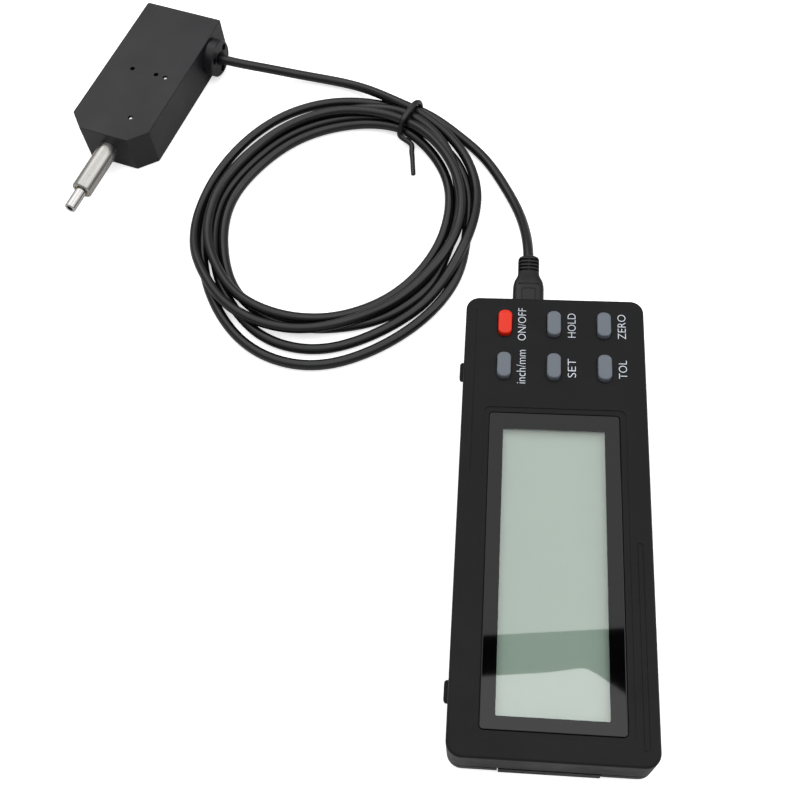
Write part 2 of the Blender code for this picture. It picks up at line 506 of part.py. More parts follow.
# ================================================================ plug
PX = SOCKET_X
half = [(-5.4, 78.0), (-5.4, 86.5), (-5.2, 89.5), (-4.75, 91.8), (-4.0, 94.0), (-3.45, 96.0), (-3.45, 102.4)]
outline = [(x + PX, y) for x, y in half] + [(PX - x, y) for x, y in half[::-1]]
outline = outline[::-1]
plug = obj("plug_overmould", mesh_of(prism([(inset(outline, 1.1), SOCKET_Z - 3.6), (outline, SOCKET_Z - 2.5), (outline, SOCKET_Z + 2.5), (inset(outline, 1.1), SOCKET_Z + 3.6)])), RUBBER)
boolean(plug, joined("plug_recess", slab(rect(PX - 3.35, PX + 3.35, 77.0, 81.0), SOCKET_Z - 1.5, SOCKET_Z + 1.5)))
shell = obj("plug_shell", mesh_of(slab(rect(PX - 3.1, PX + 3.1, 71.2, 80.6), SOCKET_Z - 1.3, SOCKET_Z + 1.2, 0.3, 0.3)), STEEL)
boolean(shell, mesh_of(slab(rect(PX - 2.7, PX + 2.7, 70.0, 77.5), SOCKET_Z - 0.9, SOCKET_Z + 0.8)))
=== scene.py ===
"""The look of the remote digital indicator: probe head, coiled lead and display unit, on a pale table. Metres, +Z up."""
import math

import bmesh
import bpy
import numpy as np
from mathutils import Matrix, Vector


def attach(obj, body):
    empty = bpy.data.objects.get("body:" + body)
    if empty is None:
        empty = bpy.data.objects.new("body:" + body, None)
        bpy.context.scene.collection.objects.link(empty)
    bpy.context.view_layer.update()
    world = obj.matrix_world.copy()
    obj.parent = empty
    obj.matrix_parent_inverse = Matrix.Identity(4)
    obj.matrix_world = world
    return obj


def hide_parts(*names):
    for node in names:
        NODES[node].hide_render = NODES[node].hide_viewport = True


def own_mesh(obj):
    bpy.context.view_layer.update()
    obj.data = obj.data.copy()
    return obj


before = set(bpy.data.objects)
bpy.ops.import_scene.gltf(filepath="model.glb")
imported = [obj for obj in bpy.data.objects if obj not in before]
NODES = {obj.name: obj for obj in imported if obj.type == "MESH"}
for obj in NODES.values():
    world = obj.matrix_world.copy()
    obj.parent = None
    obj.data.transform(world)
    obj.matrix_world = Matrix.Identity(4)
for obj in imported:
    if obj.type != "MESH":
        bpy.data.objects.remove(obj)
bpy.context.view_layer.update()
MM = 0.001
scene = bpy.context.scene

# ---------------------------------------------------------------- camera
cam_data = bpy.data.cameras.new("camera")
cam_data.sensor_width = 36.0
cam_data.lens = 48.748
cam_data.clip_start = 0.01
cam_data.clip_end = 20.0
camera = bpy.data.objects.new("camera", cam_data)
scene.collection.objects.link(camera)
camera.matrix_world = Matrix(((0.9959221580, -0.0346192829, 0.0833100258, -0.020905),
                              (0.0697279750, 0.8813339461, -0.4673205378, -0.132955),
                              (-0.0572456519, 0.4712239179, 0.8801539380, 0.337727),
                              (0, 0, 0, 1)))
scene.camera = camera

# ---------------------------------------------------------------- where the head lies
HEAD = Vector((-0.17735, 0.1516, 0.0))
YAW = -0.305
CS, SN = math.cos(YAW), math.sin(YAW)
HEAD_M = Matrix.Translation(HEAD) @ Matrix.Rotation(YAW, 4, "Z")


def head(u, v, z):
    return (HEAD.x / MM + CS * u - SN * v, HEAD.y / MM + SN * u + CS * v, z)


# ---------------------------------------------------------------- helpers
def link(name, data, body=None, mat=None, replaces=(), at=None):
    o = bpy.data.objects.new(name, data)
    scene.collection.objects.link(o)
    if at is not None:
        o.matrix_world = at
    if mat is not None:
        data.materials.append(mat)
    if body:
        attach(o, body)
    if replaces:
        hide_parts(*replaces)
    return o


def mesh_from(bm, name, smooth=30.0):
    if bm.calc_volume(signed=True) < 0:
        bmesh.ops.reverse_faces(bm, faces=bm.faces)
    me = bpy.data.meshes.new(name)
    bm.to_mesh(me)
    bm.free()
    if smooth:
        me.shade_smooth()
        me.set_sharp_from_angle(angle=math.radians(smooth))
    return me


def rounded(x0, x1, y0, y1, r, n=8):
    out = []
    for cx, cy, a0 in ((x1 - r, y1 - r, 0), (x0 + r, y1 - r, 90), (x0 + r, y0 + r, 180), (x1 - r, y0 + r, 270)):
        for i in range(n + 1):
            a = math.radians(a0 + 90 * i / n)
            out.append((cx + r * math.cos(a), cy + r * math.sin(a)))
    return out


def inset(outline, d):
    n, out = len(outline), []
    for i in range(n):
        p0, p1, p2 = (Vector(outline[(i + k) % n]) for k in (-1, 0, 1))
        e1, e2 = (p1 - p0).normalized(), (p2 - p1).normalized()
        n1, n2 = Vector((-e1.y, e1.x)), Vector((-e2.y, e2.x))
        b = (n1 + n2) / max(1e-6, 1 + n1.dot(n2))
        out.append((p1.x + b.x * d, p1.y + b.y * d))
    return out


def prism(layers, cap=True):
    bm = bmesh.new()
    rings = [[bm.verts.new((x * MM, y * MM, z * MM)) for x, y in outline] for outline, z in layers]
    for a, b in zip(rings, rings[1:]):
        for i in range(len(a)):
            j = (i + 1) % len(a)
            bm.faces.new((a[i], a[j], b[j], b[i]))
    if cap:
        bm.faces.new(rings[0][::-1])
        bm.faces.new(rings[-1])
    return bm


def fillet(outline, z_top, r, n=4, z_low=None):
    """Layers that round an outline's top edge with radius r."""
    out = [] if z_low is None else [(outline, z_low)]
    for i in range(n + 1):
        a = math.radians(90 * i / n)
        out.append((inset(outline, r * (1 - math.cos(a))), z_top - r + r * math.sin(a)))
    return out + [(inset(outline, r + 0.1), z_top)]


def refined(name, body, mat, width=0.14, segments=2, angle=30.0, merge=0.4):
    """A CAD piece again, with clean flat faces and its sharp edges rounded by a fraction of a millimetre."""
    src = NODES[name]
    bm = bmesh.new()
    bm.from_mesh(src.data)
    bm.transform(src.matrix_world)
    bmesh.ops.remove_doubles(bm, verts=bm.verts, dist=2e-6)
    bmesh.ops.dissolve_limit(bm, angle_limit=math.radians(merge), verts=bm.verts, edges=bm.edges)
    me = bpy.data.meshes.new(name + "_fine")
    bm.to_mesh(me)
    bm.free()
    me.shade_smooth()
    o = link(name + "_fine", me, body, mat, (name,))
    if width:
        m = o.modifiers.new("soft_edges", "BEVEL")
        m.width, m.segments = width * MM, segments
        m.limit_method, m.angle_limit = "ANGLE", math.radians(angle)
        m.miter_outer = "MITER_ARC"
    w = o.modifiers.new("flat_faces", "WEIGHTED_NORMAL")
    w.weight = 100
    return o


def lathe(profile, steps=64, smooth=28.0, name="turned", ring=False):
    """A turned shape about the head's own long axis; profile is (radius, along)."""
    bm = bmesh.new()
    rings = []
    for r, y in profile:
        if r < 1e-6:
            rings.append([bm.verts.new((0, y * MM, 0))])
        else:
            rings.append([bm.verts.new((r * math.cos(2 * math.pi * k / steps) * MM, y * MM, r * math.sin(2 * math.pi * k / steps) * MM)) for k in range(steps)])
    pairs = list(zip(rings, rings[1:])) + ([(rings[-1], rings[0])] if ring else [])
    for a, b in pairs:
        for k in range(steps):
            j = (k + 1) % steps
            if len(a) == 1:
                bm.faces.new((a[0], b[j], b[k]))
            elif len(b) == 1:
                bm.faces.new((a[k], a[j], b[0]))
            else:
                bm.faces.new((a[k], a[j], b[j], b[k]))
    return mesh_from(bm, name, smooth)


# ---------------------------------------------------------------- materials
class Mat:
    """A Principled material with a few node helpers, all read in object coordinates in metres."""

    def __init__(self, name, base, rough, metal=0.0):
        self.m = bpy.data.materials.new(name)
        self.m.use_nodes = True
        self.t = self.m.node_tree
        self.b = self.t.nodes["Principled BSDF"]
        self.b.inputs["Base Color"].default_value = (*base, 1)
        self.b.inputs["Roughness"].default_value = rough
        self.b.inputs["Metallic"].default_value = metal
        self.base, self.rough = base, rough
        tc = self.t.nodes.new("ShaderNodeTexCoord")
        self.co = tc.outputs["Object"]

    def new(self, kind, **props):
        n = self.t.nodes.new(kind)
        for k, v in props.items():
            setattr(n, k, v)
        return n

    def link(self, a, b):
        self.t.links.new(a, b)

    def noise(self, scale, detail=2.0, rough=0.5, squash=None):
        co = self.co
        if squash:
            mp = self.new("ShaderNodeMapping")
            mp.inputs["Scale"].default_value = squash
            self.link(co, mp.inputs["Vector"])
            co = mp.outputs["Vector"]
        n = self.new("ShaderNodeTexNoise")
        n.inputs["Scale"].default_value = scale
        n.inputs["Detail"].default_value = detail
        n.inputs["Roughness"].default_value = rough
        self.link(co, n.inputs["Vector"])
        return n.outputs["Fac"]

    def ramp(self, fac, lo, hi, a=0.0, b=1.0):
        n = self.new("ShaderNodeMapRange")
        n.inputs["From Min"].default_value = lo
        n.inputs["From Max"].default_value = hi
        n.inputs["To Min"].default_value = a
        n.inputs["To Max"].default_value = b
        self.link(fac, n.inputs["Value"])
        return n.outputs["Result"]

    def mix(self, fac, a, b):
        n = self.new("ShaderNodeMix", data_type="RGBA")
        if isinstance(fac, float):
            n.inputs[0].default_value = fac
        else:
            self.link(fac, n.inputs[0])
        for s, v in ((n.inputs[6], a), (n.inputs[7], b)):
            if isinstance(v, tuple):
                s.default_value = (*v, 1)
            else:
                self.link(v, s)
        return n.outputs[2]

    def mul(self, a, b):
        n = self.new("ShaderNodeMath", operation="MULTIPLY")
        for s, v in ((n.inputs[0], a), (n.inputs[1], b)):
            if isinstance(v, (int, float)):
                s.default_value = v
            else:
                self.link(v, s)
        return n.outputs[0]

    def edge(self, radius):
        """0 on flat faces, towards 1 on sharp edges."""
        bv = self.new("ShaderNodeBevel", samples=4)
        bv.inputs["Radius"].default_value = radius
        ge = self.new("ShaderNodeNewGeometry")
        dt = self.new("ShaderNodeVectorMath", operation="DOT_PRODUCT")
        self.link(bv.outputs["Normal"], dt.inputs[0])
        self.link(ge.outputs["Normal"], dt.inputs[1])
        return self.ramp(dt.outputs["Value"], 0.98, 0.75, 0.0, 1.0)

    def colour(self, socket):
        self.link(socket, self.b.inputs["Base Color"])

    def roughness(self, socket):
        self.link(socket, self.b.inputs["Roughness"])

    def bump(self, height, strength, distance, after=None):
        n = self.new("ShaderNodeBump")
        n.inputs["Strength"].default_value = strength
        n.inputs["Distance"].default_value = distance
        self.link(height, n.inputs["Height"])
        if after is not None:
            self.link(after, n.inputs["Normal"])
        self.link(n.outputs["Normal"], self.b.inputs["Normal"])
        return n.outputs["Normal"]


def scaled(c, k):
    return tuple(min(1.0, x * k) for x in c)


def moulded(name, base, rough, grain=2200.0, depth=0.00004, strength=0.35, wear=0.0, spec=0.5):
    """Moulded plastic: a fine spark texture, slightly uneven tone and gloss, edges rubbed a little brighter."""
    m = Mat(name, base, rough)
    m.b.inputs["Specular IOR Level"].default_value = spec
    tone = m.ramp(m.noise(38.0, 3.0), 0.3, 0.7)
    col = m.mix(tone, scaled(base, 0.86), scaled(base, 1.14))
    if wear:
        rub = m.mul(m.edge(0.00035), m.ramp(m.noise(420.0, 4.0, 0.7), 0.42, 0.62, 0.15, 1.0))
        col = m.mix(m.mul(rub, wear), col, tuple(min(1.0, x * 2.2 + 0.02) for x in base))
    m.colour(col)
    m.roughness(m.ramp(m.noise(70.0, 4.0, 0.6), 0.3, 0.7, rough - 0.06, rough + 0.06))
    first = m.bump(m.noise(grain, 2.0, 0.6), strength, depth)
    m.bump(m.noise(300.0, 1.0), 0.08, 0.00005, first)
    return m.m


def metal(name, base, rough, lines=(1.0, 1.0, 1.0), scale=900.0, depth=0.00001, tone=0.12, strength=0.25):
    """Ground or turned metal: lines squeezed along one axis."""
    m = Mat(name, base, rough, 1.0)
    g = m.noise(scale, 3.0, 0.6, lines)
    m.colour(m.mix(m.ramp(g, 0.3, 0.7), scaled(base, 1 - tone), scaled(base, 1 + tone * 0.6)))
    m.roughness(m.ramp(m.noise(scale * 0.4, 2.0, 0.5, lines), 0.3, 0.7, rough - 0.03, rough + 0.04))
    m.bump(g, strength, depth)
    return m.m


CASE = moulded("case_black", (0.0045, 0.0045, 0.0050), 0.42, 2400.0, 0.00004, 0.20, 0.3, 0.155)
KEY_GREY = moulded("key_grey", (0.138, 0.156, 0.182), 0.42, 1500.0, 0.00002, 0.12, 0.15, 0.3)
KEY_RED = moulded("key_red", (0.74, 0.022, 0.004), 0.36, 1500.0, 0.00002, 0.12, 0.1, 0.3)
JACKET = moulded("cord_black", (0.0034, 0.0034, 0.0040), 0.30, 900.0, 0.00003, 0.08, 0.0, 0.46)
PLUG_BLACK = moulded("plug_black", (0.0042, 0.0042, 0.0048), 0.36, 1500.0, 0.00003, 0.16, 0.15, 0.34)
ANODISED = moulded("black_anodised", (0.0085, 0.0083, 0.0100), 0.36, 3200.0, 0.000012, 0.14, 0.35, 0.30)
INK = Mat("window_ink", (0.0012, 0.0012, 0.0014), 0.03)
INK.b.inputs["Specular IOR Level"].default_value = 0.34
INK.colour(INK.mix(INK.noise(60.0, 3.0), (0.0010, 0.0010, 0.0011), (0.0014, 0.0014, 0.0017)))
INK.roughness(INK.ramp(INK.noise(90.0, 3.0), 0.3, 0.7, 0.024, 0.036))
INK = INK.m
STEEL = metal("ground_steel", (0.52, 0.51, 0.50), 0.22, (1.0, 9.0, 1.0), 300.0, 0.000002, 0.06, 0.05)
STEM_STEEL = metal("stem_steel", (0.40, 0.388, 0.37), 0.27, (0.2, 12.0, 0.2), 260.0, 0.000001, 0.03, 0.03)
BRASS = metal("turned_brass", (0.66, 0.47, 0.20), 0.28, (1.0, 6.0, 1.0), 500.0)
SCREW = metal("screw_steel", (0.50, 0.49, 0.48), 0.26, (1.0, 1.0, 0.3), 900.0)
DARK_SCREW = metal("screw_black_oxide", (0.06, 0.06, 0.065), 0.34, (1.0, 1.0, 0.3), 900.0)
BOARD = moulded("solder_mask", (0.012, 0.10, 0.04), 0.35, 400.0, 0.00002, 0.1)
CELL = moulded("cell_wrap", (0.09, 0.10, 0.13), 0.3, 300.0, 0.00001, 0.05)
LAYERS = moulded("contact_rubber", (0.33, 0.29, 0.29), 0.6, 600.0, 0.00003, 0.2)


def pane_material():
    """Clear acrylic: what is under it shows, with the surface's own reflection on top."""
    m = bpy.data.materials.new("window_clear")
    m.use_nodes = True
    t = m.node_tree
    t.nodes.remove(t.nodes["Principled BSDF"])
    out = t.nodes["Material Output"]
    clear, gloss = t.nodes.new("ShaderNodeBsdfTransparent"), t.nodes.new("ShaderNodeBsdfPrincipled")
    mix, facing = t.nodes.new("ShaderNodeMixShader"), t.nodes.new("ShaderNodeLayerWeight")
    clear.inputs["Color"].default_value = (0.97, 0.98, 0.97, 1)
    gloss.inputs["Base Color"].default_value = (1, 1, 1, 1)
    gloss.inputs["Metallic"].default_value = 1.0
    gloss.inputs["Roughness"].default_value = 0.02
    tc, n = t.nodes.new("ShaderNodeTexCoord"), t.nodes.new("ShaderNodeTexNoise")
    n.inputs["Scale"].default_value = 60.0
    n.inputs["Detail"].default_value = 4.0
    mr = t.nodes.new("ShaderNodeMapRange")
    mr.inputs["To Min"].default_value, mr.inputs["To Max"].default_value = 0.012, 0.022
    t.links.new(tc.outputs["Object"], n.inputs["Vector"])
    t.links.new(n.outputs["Fac"], mr.inputs["Value"])
    t.links.new(mr.outputs["Result"], gloss.inputs["Roughness"])
    facing.inputs["Blend"].default_value = 0.5
    steep = t.nodes.new("ShaderNodeMath")
    steep.operation = "POWER"
    steep.inputs[1].default_value = 5.0
    t.links.new(facing.outputs["Facing"], steep.inputs[0])
    lift = t.nodes.new("ShaderNodeMath")
    lift.operation = "MULTIPLY_ADD"
    lift.use_clamp = True
    lift.inputs[1].default_value = 0.9
    lift.inputs[2].default_value = 0.071
    t.links.new(steep.outputs[0], lift.inputs[0])
    t.links.new(lift.outputs[0], mix.inputs[0])
    t.links.new(clear.outputs[0], mix.inputs[1])
    t.links.new(gloss.outputs[0], mix.inputs[2])
    t.links.new(mix.outputs[0], out.inputs["Surface"])
    return m


def lcd_material():
    """Unlit liquid-crystal glass: greenish grey."""
    m = Mat("lcd_glass", (0.335, 0.425, 0.37), 0.35)
    m.b.inputs["Specular IOR Level"].default_value = 0.25
    m.colour(m.mix(m.ramp(m.noise(55.0, 3.0), 0.3, 0.7), (0.287, 0.369, 0.316), (0.298, 0.378, 0.323)))
    m.roughness(m.ramp(m.noise(30.0, 2.0), 0.3, 0.7, 0.32, 0.38))
    return m.m


PANE, LCD = pane_material(), lcd_material()

# ---------------------------------------------------------------- lead
D = 3.8
R = D / 2
COIL_C = (-82.6, 122.0)
COIL_IN = (41.4, 43.7, 46.1, 48.1, 50.1, 50.1, 48.1, 45.9, 44.1, 42.3, 42.2, 43.3,
           43.4, 43.4, 45.1, 46.8, 46.5, 45.5, 43.7, 41.5, 39.5, 38.9, 38.7, 39.4)
COIL_OUT = (54.7, 57.6, 60.0, 62.3, 63.5, 64.2, 64.7, 64.1, 62.4, 59.9, 58.0, 57.0,
            56.3, 57.4, 58.3, 60.8, 64.3, 66.4, 66.0, 62.5, 59.5, 57.4, 55.9, 54.5)
TIE_AZ = 63.0


def table(values, az):
    n = len(values)
    s = (az % 360) / 360 * n
    i, t = int(s) % n, s - int(s)
    p = [values[(i + k) % n] for k in (-1, 0, 1, 2)]
    return 0.5 * (2 * p[1] + (p[2] - p[0]) * t + (2 * p[0] - 5 * p[1] + 4 * p[2] - p[3]) * t * t + (3 * p[1] - p[0] - 3 * p[2] + p[3]) * t ** 3)


def catmull(points, per=6):
    p = [Vector(q) for q in points]
    p = [2 * p[0] - p[1]] + p + [2 * p[-1] - p[-2]]
    out = []
    for i in range(1, len(p) - 2):
        for k in range(per):
            t = k / per
            out.append(0.5 * (2 * p[i] + (p[i + 1] - p[i - 1]) * t + (2 * p[i - 1] - 5 * p[i] + 4 * p[i + 1] - p[i + 2]) * t * t + (3 * p[i] - p[i - 1] - 3 * p[i + 1] + p[i + 2]) * t ** 3))
    return out + [p[-2]]


# azimuths each turn passes, clockwise from the tie, and for each turn its place between the coil's inside (0) and outside (1) there, and its height
AZ = (65, 30, 0, -20, -40, -60, -75, -92, -115, -130, -150, -168, -190, -215, -240, -262, -295)
TURNS = (
    ((0.82, 1.00, 1.00, 0.84, 0.70, 0.66, 0.64, 0.64, 0.60, 0.42, 0.32, 0.26, 0.26, 0.28, 0.28, 0.29, 0.40),
     (6.6, 5.6, 5.0, 5.0, 2.5, 2.0, 2.0, 2.0, 2.0, 2.0, 2.0, 2.0, 2.0, 2.0, 2.0, 2.0, 3.6)),
    ((0.40, 0.55, 0.77, 0.95, 1.00, 1.00, 1.00, 1.00, 1.00, 0.95, 0.88, 0.77, 0.70, 0.62, 0.57, 0.57, 0.60),
     (3.6, 3.0, 2.0, 2.0, 2.0, 2.0, 2.0, 2.0, 2.0, 2.0, 2.0, 2.0, 2.0, 2.0, 2.0, 2.0, 6.9)),
    ((0.60, 0.42, 0.24, 0.36, 0.50, 0.42, 0.25, 0.12, 0.08, 0.02, 0.00, 0.00, 0.00, 0.00, 0.00, 0.00, 0.00),
     (6.9, 4.6, 2.0, 2.0, 2.0, 2.0, 2.0, 2.0, 2.0, 2.0, 2.0, 2.0, 2.0, 2.0, 2.0, 2.0, 3.6)),
    ((0.00, 0.00, 0.00, 0.00, 0.00, 0.00, 0.00, 0.00, 0.03, 0.10, 0.28, 0.52, 0.50, 0.42, 0.43, 0.43, 0.20),
     (3.6, 3.0, 4.0, 2.5, 2.0, 3.0, 4.8, 5.2, 5.4, 5.6, 5.6, 5.2, 5.0, 5.0, 5.0, 5.0, 6.9)),
    ((0.20, 0.30, 0.52, 0.42, 0.27, 0.25, 0.24, 0.22, 0.35, 0.60, 0.85, 1.00, 1.00, 1.00, 1.00, 1.00, 0.95),
     (6.9, 5.6, 5.0, 5.2, 3.0, 3.0, 4.8, 5.2, 5.4, 5.6, 4.6, 3.4, 2.0, 2.0, 2.0, 2.0, 2.6)),
)
IN_ROUTE = [head(14.0, 58.9, 8.55), head(21.6, 58.9, 8.55), (-131.4, 199.1, 8.1), (-124.8, 199.0, 6.9), (-118.1, 198.7, 5.6), (-111.8, 198.3, 4.3), (-105.6, 197.8, 3.2),
            (-99.2, 197.1, 2.5), (-92.8, 196.0, 2.1), (-86.2, 194.4, 2.3), (-79.6, 191.6, 3.0), (-72.5, 187.1, 4.6), (-66.2, 182.4, 5.8), (-60.6, 178.0, 6.5)]
OUT_ROUTE = [(-53.65, 178.3, 3.0), (-49.5, 176.4, 2.6), (-44.1, 172.8, 2.4), (-38.9, 168.1, 2.2), (-33.4, 163.0, 2.0), (-28.5, 158.4, 2.0), (-24.2, 152.2, 2.0), (-20.3, 145.4, 2.1),
             (-16.7, 138.4, 2.6), (-13.5, 131.2, 3.7), (-11.6, 124.6, 5.2), (-10.3, 118.1, 7.0), (-9.4, 112.0, 8.8), (-8.95, 106.6, 10.0), (-8.8, 102.0, 10.55), (-8.8, 98.0, 10.6)]

raw = [Vector(p) for p in IN_ROUTE]
for fr, hs in TURNS:
    for k in range(73 if fr is not TURNS[-1][0] else 72):
        s = 65 - 5.0 * k
        f = float(np.interp(-s, [-a for a in AZ], fr))
        h = float(np.interp(-s, [-a for a in AZ], hs))
        ri, ro = table(COIL_IN, s) + R, table(COIL_OUT, s) - R
        r = ri + f * (ro - ri)
        a = math.radians(s)
        if k == 0 and fr is not TURNS[0][0]:
            continue
        raw.append(Vector((COIL_C[0] + r * math.cos(a), COIL_C[1] + r * math.sin(a), h)))
raw += [Vector(p) for p in OUT_ROUTE]


def resample(points, step):
    p = np.array([list(q) for q in points])
    s = np.concatenate(([0], np.cumsum(np.linalg.norm(np.diff(p, axis=0), axis=1))))
    n = int(round(s[-1] / step))
    t = np.linspace(0, s[-1], n + 1)
    return np.stack([np.interp(t, s, p[:, k]) for k in range(3)], axis=1)


def smoothed(p, rounds, k=0.5):
    p = p.copy()
    for _ in range(rounds):
        p[1:-1] += k * (0.5 * (p[:-2] + p[2:]) - p[1:-1])
    return p


path = resample(catmull(raw, 4), 2.4)
path = resample(smoothed(path, 14), 2.4)


def settle(path, rounds=260):
    """The lead under its own weight: turns push each other apart and rest on the table and on one another."""
    p, rest, n = path.copy(), path.copy(), len(path)
    c = np.array(COIL_C)
    free = np.ones(n)
    ends = np.minimum(np.arange(n), np.arange(n)[::-1]) * 2.4
    free[ends < 12] = 0
    sag = np.clip((np.arange(n) * 2.4 - 70.0) / 30.0, 0, 1)
    pairs = None
    for it in range(rounds):
        if it % 12 == 0:
            d = np.linalg.norm(p[:, None, :] - p[None, :, :], axis=2)
            i, j = np.nonzero(np.triu(d < D + 3.0, 6))
            pairs = (i, j)
        disp = p - rest
        for _ in range(4):
            disp[1:-1] += 0.4 * (0.5 * (disp[:-2] + disp[2:]) - disp[1:-1])
        disp[:, :2] *= 0.96
        disp[:, 2] -= 0.018 * free * sag
        p = rest + disp * free[:, None]
        for _ in range(5):
            i, j = pairs
            v = p[j] - p[i]
            L = np.linalg.norm(v, axis=1)
            hit = L < D + 0.02
            i, j, v, L = i[hit], j[hit], v[hit], np.maximum(L[hit], 1e-6)
            push = v / L[:, None] * ((D + 0.02 - L) * 0.5)[:, None]
            cnt = np.ones(n)
            acc = np.zeros_like(p)
            np.add.at(acc, i, -push)
            np.add.at(acc, j, push)
            np.add.at(cnt, i, 0.35)
            np.add.at(cnt, j, 0.35)
            p += acc / cnt[:, None] * free[:, None]
            az = np.degrees(np.arctan2(p[:, 1] - c[1], p[:, 0] - c[0]))
            rr = np.hypot(p[:, 0] - c[0], p[:, 1] - c[1])
            floor = np.where((np.abs(az - TIE_AZ) < 3.0) & (rr < 68), R + 1.75, R + 0.04)
            p[:, 2] = np.where(free > 0, np.maximum(p[:, 2], floor), p[:, 2])
    return p


path = settle(path)
path = smoothed(path, 1, 0.3)

cu = bpy.data.curves.new("lead", "CURVE")
cu.dimensions = "3D"
cu.bevel_depth = R * MM
cu.bevel_resolution = 5
cu.use_fill_caps = True
sp = cu.splines.new("POLY")
sp.points.add(len(path) - 1)
for q, p in zip(sp.points, path):
    q.co = (*(p * MM), 1)
    q.radius = 1.0
sp.use_smooth = True
lead = link("lead", cu, "probe_set", JACKET, ("lead_to_probe", "lead_coil", "lead_to_display"))

# ---------------------------------------------------------------- tie
ta = math.radians(TIE_AZ)
tr, tt = Vector((math.cos(ta), math.sin(ta), 0)), Vector((-math.sin(ta), math.cos(ta), 0))
base = Vector((*COIL_C, 0))


def around(r, t, z):
    return base + tr * r + tt * t + Vector((0, 0, z))


tie_in, tie_out = table(COIL_IN, TIE_AZ), table(COIL_OUT, TIE_AZ)
TIE = [(-54.6, 147.5, 1.0), (-54.9, 150.2, 1.1), (-55.2, 153.0, 1.2), (-55.5, 155.7, 1.4), (-55.9, 158.4, 1.6), (-56.4, 161.8, 2.4), around(tie_in - 2.4, -0.1, 4.0), around(tie_in - 0.9, 0.3, 7.0), around(tie_in + 1.2, 0.3, 9.9), around((tie_in + tie_out) / 2, 0.3, 10.4), around(tie_out - 2.6, 0.3, 9.9),
       around(tie_out + 0.2, 0.2, 7.4), around(tie_out + 0.5, 0.0, 4.0), around(tie_out - 0.9, -0.6, 1.3), around(tie_out - 3.2, -1.6, 0.86), around((tie_in + tie_out) / 2, -2.2, 0.86), around(tie_in + 2.4, -2.6, 0.86), around(tie_in - 0.9, -3.0, 1.9)]
tc = bpy.data.curves.new("twist_tie_wire", "CURVE")
tc.dimensions = "3D"
tc.bevel_depth = 1.1 * MM
tc.bevel_resolution = 4
tc.use_fill_caps = True
sp = tc.splines.new("POLY")
pts = catmull(TIE, 8)
sp.points.add(len(pts) - 1)
for k, (q, p) in enumerate(zip(sp.points, pts)):
    q.co = (*(Vector(p) * MM), 1)
    q.radius = 0.86 + 0.14 * min(1.0, max(0.0, (k - 18) / 24))
sp.use_smooth = True
tie = link("tie_wire", tc, "probe_set", JACKET, ("twist_tie",))

# ---------------------------------------------------------------- plug
PX, PZ = -8.8, 10.6


def section(y, w, h, e=4.2, n=72):
    out = []
    for i in range(n):
        a = 2 * math.pi * i / n
        c, s = math.cos(a), math.sin(a)
        out.append(((PX + w * math.copysign(abs(c) ** (2 / e), c)) * MM, y * MM, (PZ + h * math.copysign(abs(s) ** (2 / e), s)) * MM))
    return out


def loft(rows, name):
    bm = bmesh.new()
    rings = [[bm.verts.new(p) for p in row] for row in rows]
    for a, b in zip(rings, rings[1:]):
        for i in range(len(a)):
            j = (i + 1) % len(a)
            bm.faces.new((a[i], a[j], b[j], b[i]))
    bm.faces.new(rings[0][::-1])
    bm.faces.new(rings[-1])
    return mesh_from(bm, name, 40)


def grooved(y, k):
    """The neck's section where a slot is cut in each side, leaving a spine above and below."""
    out = []
    for x, yy, z in section(y, 3.82, 3.08, 3.4):
        dx, dz = x - PX * MM, z - PZ * MM
        f = 1 - k * min(1.0, max(0.0, (abs(dx) / MM - 0.5) / 0.25))
        out.append((PX * MM + dx * f, yy, PZ * MM + dz * f))
    return out


rows = [section(78.05, 4.8, 2.9), section(78.1, 5.2, 3.3), section(78.35, 5.43, 3.53), section(78.8, 5.5, 3.6), section(83.0, 5.5, 3.6), section(86.8, 5.5, 3.6), section(87.8, 5.46, 3.6), section(88.6, 5.36, 3.57),
        section(89.3, 5.2, 3.53), section(90.0, 4.96, 3.47), section(90.6, 4.7, 3.4), section(91.2, 4.42, 3.33), section(91.7, 4.2, 3.27), section(92.2, 4.02, 3.2), section(92.8, 3.9, 3.14, 3.8), section(93.5, 3.84, 3.1, 3.5)]
y = 93.9
for k in range(4):
    rows += [grooved(y, 0.0), grooved(y + 0.08, 0.02), grooved(y + 0.16, 0.2), grooved(y + 0.75, 0.2), grooved(y + 0.83, 0.02), grooved(y + 0.92, 0.0)]
    y += 1.5
rows += [section(99.7, 3.8, 3.06, 3.4), section(100.2, 3.62, 2.92, 3.2), section(100.6, 3.25, 2.66, 2.9), section(100.85, 2.7, 2.3, 2.6), section(100.92, 2.1, 1.96, 2.3)]
plug = link("plug", loft(rows, "plug"), "probe_set", PLUG_BLACK, ("plug_overmould",))


def ridge(name, outline, z, w, h, body, mat):
    """A thin closed ridge along an outline, standing h proud of z."""
    a, b = outline, inset(outline, w)
    bm = bmesh.new()
    m1, m2 = inset(outline, w * 0.3), inset(outline, w * 0.7)
    rings = [[bm.verts.new((x * MM, yy * MM, zz * MM)) for x, yy in o] for o, zz in ((a, z), (m1, z + h), (m2, z + h), (b, z))]
    for p, q in zip(rings, rings[1:] + rings[:1]):
        for i in range(len(p)):
            j = (i + 1) % len(p)
            bm.faces.new((p[i], p[j], q[j], q[i]))
    return link(name, mesh_from(bm, name, 60), body, mat)


panel = ridge("plug_panel", rounded(PX - 2.6, PX + 2.6, 79.4, 86.1, 0.6, 4), PZ + 3.5, 0.45, 0.28, "probe_set", PLUG_BLACK)
bar = ridge("plug_bar", rounded(PX - 3.7, PX + 3.7, 87.5, 88.2, 0.3, 3), PZ + 3.5, 0.3, 0.2, "probe_set", PLUG_BLACK)

